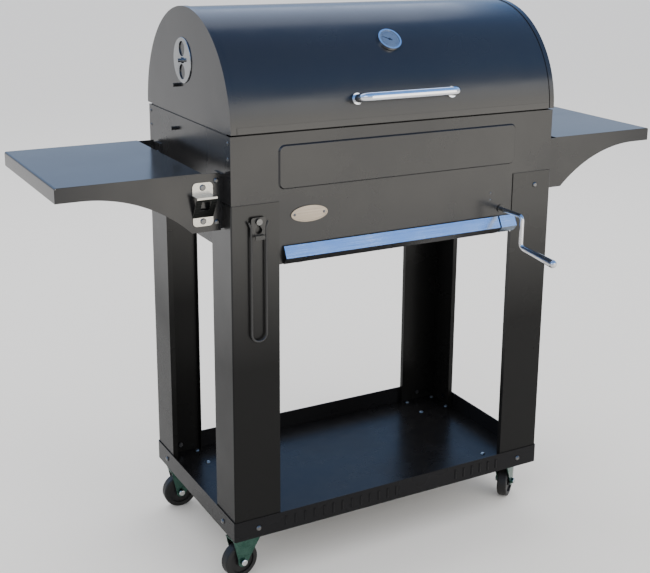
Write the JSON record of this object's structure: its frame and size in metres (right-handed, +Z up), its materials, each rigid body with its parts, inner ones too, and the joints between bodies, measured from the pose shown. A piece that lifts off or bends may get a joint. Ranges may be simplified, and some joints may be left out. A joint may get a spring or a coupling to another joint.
{
  "type": "charcoal grill cart",
  "caption": "Barrel-hood charcoal grill on a four-leg cart with a crank-lifted coal tray, ash drawer, side shelves and swivel casters.",
  "frame": {"origin": "floor point under the middle of the plan bounding box", "axes": "+X the cart's right-hand side, -Y its front (handle, crank and drawer), +Z up"},
  "size_m": [1.474, 0.6803, 1.2277],
  "materials": {
    "black_coat": "semi-gloss black powder coat on steel sheet",
    "tray_coat": "satin black powder coat",
    "stainless": "brushed stainless steel",
    "chrome": "bright chrome plate",
    "zinc": "zinc plate, slightly dulled",
    "galvanised": "plain rolled steel",
    "enamel": "black porcelain enamel",
    "rubber": "matte black rubber",
    "dial": "plain pale dial",
    "needle": "painted pointer"
  },
  "bodies": {
    "cart": {"badge": "stainless", "base_tray": "tray_coat", "bottle_opener": "stainless", "caster_bolts": "zinc", "caster_plates": "zinc", "cooking_grate_left": "enamel", "cooking_grate_right": "enamel", "crank_bushes": "zinc", "firebox_floor_plates": "galvanised", "frame_bolts": "zinc", "front_panel": "black_coat", "grate_rails": "galvanised", "hinge_leaves_body": "black_coat", "left_shelf_front_apron": "black_coat", "left_shelf_rear_apron": "black_coat", "left_shelf_top": "black_coat", "leg_front_left": "black_coat", "leg_front_right": "black_coat", "leg_rear_left": "black_coat", "leg_rear_right": "black_coat", "lip_end": "stainless", "panel_screws": "zinc", "rear_panel": "black_coat", "right_shelf_front_apron": "black_coat", "right_shelf_rear_apron": "black_coat", "right_shelf_top": "black_coat", "shelf_bolts": "zinc", "shelf_brackets": "black_coat", "side_panel_left": "black_coat", "side_panel_right": "black_coat", "tray_guides": "galvanised"},
    "lid": {"hood_skin": "black_coat", "hood_end_left": "black_coat", "hood_end_right": "black_coat", "lid_handle": "chrome", "thermometer_case": "chrome", "thermometer_dial": "dial", "thermometer_needle": "needle", "lid_nuts": "zinc", "hinge_leaves_lid": "black_coat"},
    "vent_left": {"vent_left": "chrome"},
    "vent_right": {"vent_right": "chrome"},
    "warming_rack": {"warming_rack": "chrome"},
    "rack_links": {"rack_links": "chrome"},
    "charcoal_tray": {"charcoal_tray": "galvanised"},
    "slider": {"slider_frame": "galvanised", "slider_nut": "galvanised"},
    "crank": {"crank_rod": "chrome"},
    "crank_grip": {"crank_grip": "chrome"},
    "ash_drawer": {"ash_drawer": "black_coat", "drawer_lip": "stainless"},
    "grate_lifter": {"grate_lifter": "chrome"},
    "caster_front_left": {"caster_fork_front_left": "zinc"},
    "wheel_front_left": {"caster_wheel_front_left": "rubber"},
    "caster_front_right": {"caster_fork_front_right": "zinc"},
    "wheel_front_right": {"caster_wheel_front_right": "rubber"},
    "caster_rear_left": {"caster_fork_rear_left": "zinc"},
    "wheel_rear_left": {"caster_wheel_rear_left": "rubber"},
    "caster_rear_right": {"caster_fork_rear_right": "zinc"},
    "wheel_rear_right": {"caster_wheel_rear_right": "rubber"}
  },
  "joints": [
    {"name": "lid_hinge", "type": "hinge", "parent": "cart", "child": "lid", "pos_m": [0, 0.334, 0.99], "axis": [-1, 0, 0], "range_deg": [0, 90]},
    {"name": "rack_pivot", "type": "hinge", "parent": "lid", "child": "warming_rack", "pos_m": [0, 0.136, 1.059], "axis": [1, 0, 0], "range_deg": [0, 90]},
    {"name": "rack_link_pivot", "type": "hinge", "parent": "cart", "child": "rack_links", "pos_m": [0, 0.154, 0.9626], "axis": [-1, 0, 0], "range_deg": [0, 90]},
    {"name": "vent_left_turn", "type": "hinge", "parent": "lid", "child": "vent_left", "pos_m": [-0.401, 0.102, 1.115], "axis": [-1, 0, 0], "continuous": true},
    {"name": "vent_right_turn", "type": "hinge", "parent": "lid", "child": "vent_right", "pos_m": [0.401, 0.102, 1.115], "axis": [1, 0, 0], "continuous": true},
    {"name": "crank_turn", "type": "hinge", "parent": "cart", "child": "crank", "pos_m": [0.264, -0.138, 0.7736], "axis": [0, 1, 0], "range_deg": [0, 2880]},
    {"name": "crank_grip_spin", "type": "hinge", "parent": "crank", "child": "crank_grip", "pos_m": [0.264, -0.27882, 0.69839], "axis": [0, 0.9969, 0.0785], "continuous": true},
    {"name": "tray_lift", "type": "slide", "parent": "cart", "child": "charcoal_tray", "axis": [0, 0, 1], "range_m": [0, 0.08]},
    {"name": "slider_travel", "type": "slide", "parent": "cart", "child": "slider", "axis": [0, 1, 0], "range_m": [0, 0.08]},
    {"name": "drawer_slide", "type": "slide", "parent": "cart", "child": "ash_drawer", "axis": [0, -1, 0], "range_m": [0, 0.38]},
    {"name": "lifter_lift", "type": "slide", "parent": "cart", "child": "grate_lifter", "axis": [0, 0, 1], "range_m": [0, 0.018]},
    {"name": "caster_swivel_front_left", "type": "hinge", "parent": "cart", "child": "caster_front_left", "pos_m": [-0.35, -0.088, 0.1], "axis": [0, 0, 1], "continuous": true},
    {"name": "wheel_roll_front_left", "type": "hinge", "parent": "caster_front_left", "child": "wheel_front_left", "pos_m": [-0.37184, -0.09068, 0.04], "axis": [0.1219, -0.9925, 0], "continuous": true},
    {"name": "caster_swivel_front_right", "type": "hinge", "parent": "cart", "child": "caster_front_right", "pos_m": [0.35, -0.088, 0.1], "axis": [0, 0, 1], "continuous": true},
    {"name": "wheel_roll_front_right", "type": "hinge", "parent": "caster_front_right", "child": "wheel_front_right", "pos_m": [0.3671, -0.07415, 0.04], "axis": [-0.6293, 0.7771, 0], "continuous": true},
    {"name": "caster_swivel_rear_left", "type": "hinge", "parent": "cart", "child": "caster_rear_left", "pos_m": [-0.35, 0.268, 0.1], "axis": [0, 0, 1], "continuous": true},
    {"name": "wheel_roll_rear_left", "type": "hinge", "parent": "caster_rear_left", "child": "wheel_rear_left", "pos_m": [-0.37195, 0.26953, 0.04], "axis": [-0.0698, -0.9976, 0], "continuous": true},
    {"name": "caster_swivel_rear_right", "type": "hinge", "parent": "cart", "child": "caster_rear_right", "pos_m": [0.35, 0.268, 0.1], "axis": [0, 0, 1], "continuous": true},
    {"name": "wheel_roll_rear_right", "type": "hinge", "parent": "caster_rear_right", "child": "wheel_rear_right", "pos_m": [0.33176, 0.2557, 0.04], "axis": [0.5592, -0.829, 0], "continuous": true}
  ],
  "couplings": [
    {"joint": "rack_pivot", "follows": "lid_hinge", "ratio": 1},
    {"joint": "rack_link_pivot", "follows": "lid_hinge", "ratio": 1},
    {"joint": "tray_lift", "follows": "crank_turn", "m_per_rad": 0.0015915},
    {"joint": "slider_travel", "follows": "crank_turn", "m_per_rad": 0.0015915}
  ]
}
